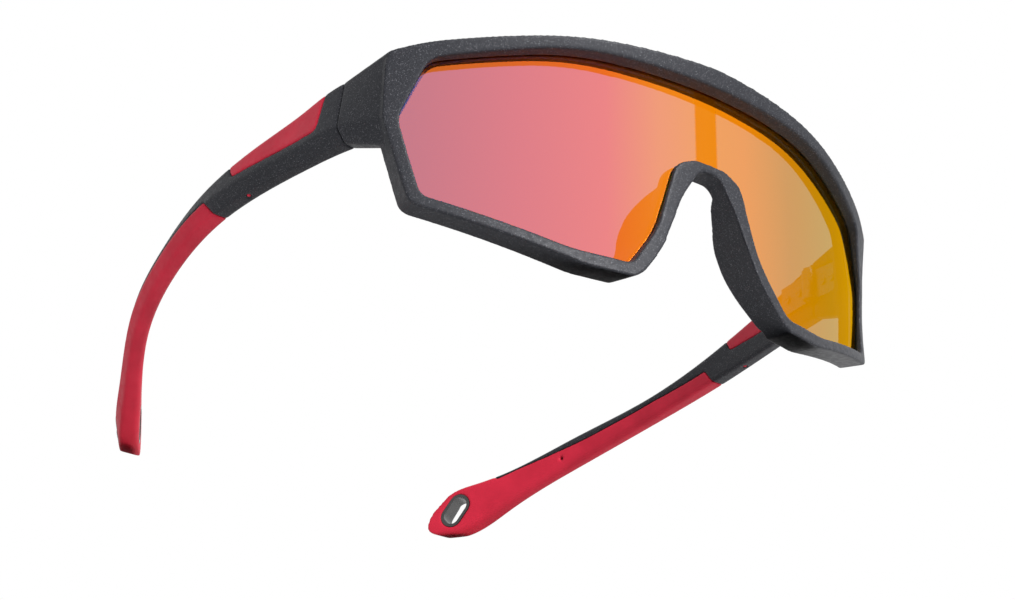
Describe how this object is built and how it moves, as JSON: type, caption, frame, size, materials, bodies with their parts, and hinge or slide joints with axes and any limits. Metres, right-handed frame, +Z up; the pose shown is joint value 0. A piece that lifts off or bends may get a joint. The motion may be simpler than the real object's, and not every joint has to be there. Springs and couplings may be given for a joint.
{
  "type": "wraparound sport sunglasses",
  "caption": "Wraparound sport sunglasses with a one-piece mirrored shield lens, a full rim, and folding temples with soft grips and strap slots.",
  "frame": {"origin": "centre of the bottom of the whole object, on the surface that it stands on", "axes": "+Z up, the front faces -Y, and +X is the wearer's left"},
  "size_m": [0.1498, 0.1558, 0.0533],
  "materials": {
    "frame_plastic": "satin charcoal with a fine metallic sparkle",
    "mirror_lens": "mirror coating, orange and red",
    "red_plastic": "satin red",
    "red_rubber": "soft-touch red",
    "ring_plastic": "dark, smooth",
    "hinge_steel": "dark-finished steel"
  },
  "bodies": {
    "front": {"front_frame": "frame_plastic", "shield_lens": "mirror_lens", "left_front_leaf": "hinge_steel", "left_front_leaf_screws": "hinge_steel", "left_hinge_screw": "hinge_steel", "right_front_leaf": "hinge_steel", "right_front_leaf_screws": "hinge_steel", "right_hinge_screw": "hinge_steel"},
    "left_temple": {"left_temple_core": "frame_plastic", "left_temple_insert": "red_plastic", "left_temple_grip": "red_rubber", "left_slot_ring": "ring_plastic", "left_temple_leaf": "hinge_steel", "left_temple_leaf_screws": "hinge_steel"},
    "right_temple": {"right_temple_core": "frame_plastic", "right_temple_insert": "red_plastic", "right_temple_grip": "red_rubber", "right_slot_ring": "ring_plastic", "right_temple_leaf": "hinge_steel", "right_temple_leaf_screws": "hinge_steel"}
  },
  "joints": [
    {"name": "left_temple_fold", "type": "hinge", "parent": "front", "child": "left_temple", "pos_m": [0.0642, -0.03966, 0.03556], "axis": [0, 0, 1], "range_deg": [0, 84]},
    {"name": "right_temple_fold", "type": "hinge", "parent": "front", "child": "right_temple", "pos_m": [-0.0642, -0.03966, 0.03556], "axis": [0, 0, -1], "range_deg": [0, 76]}
  ]
}
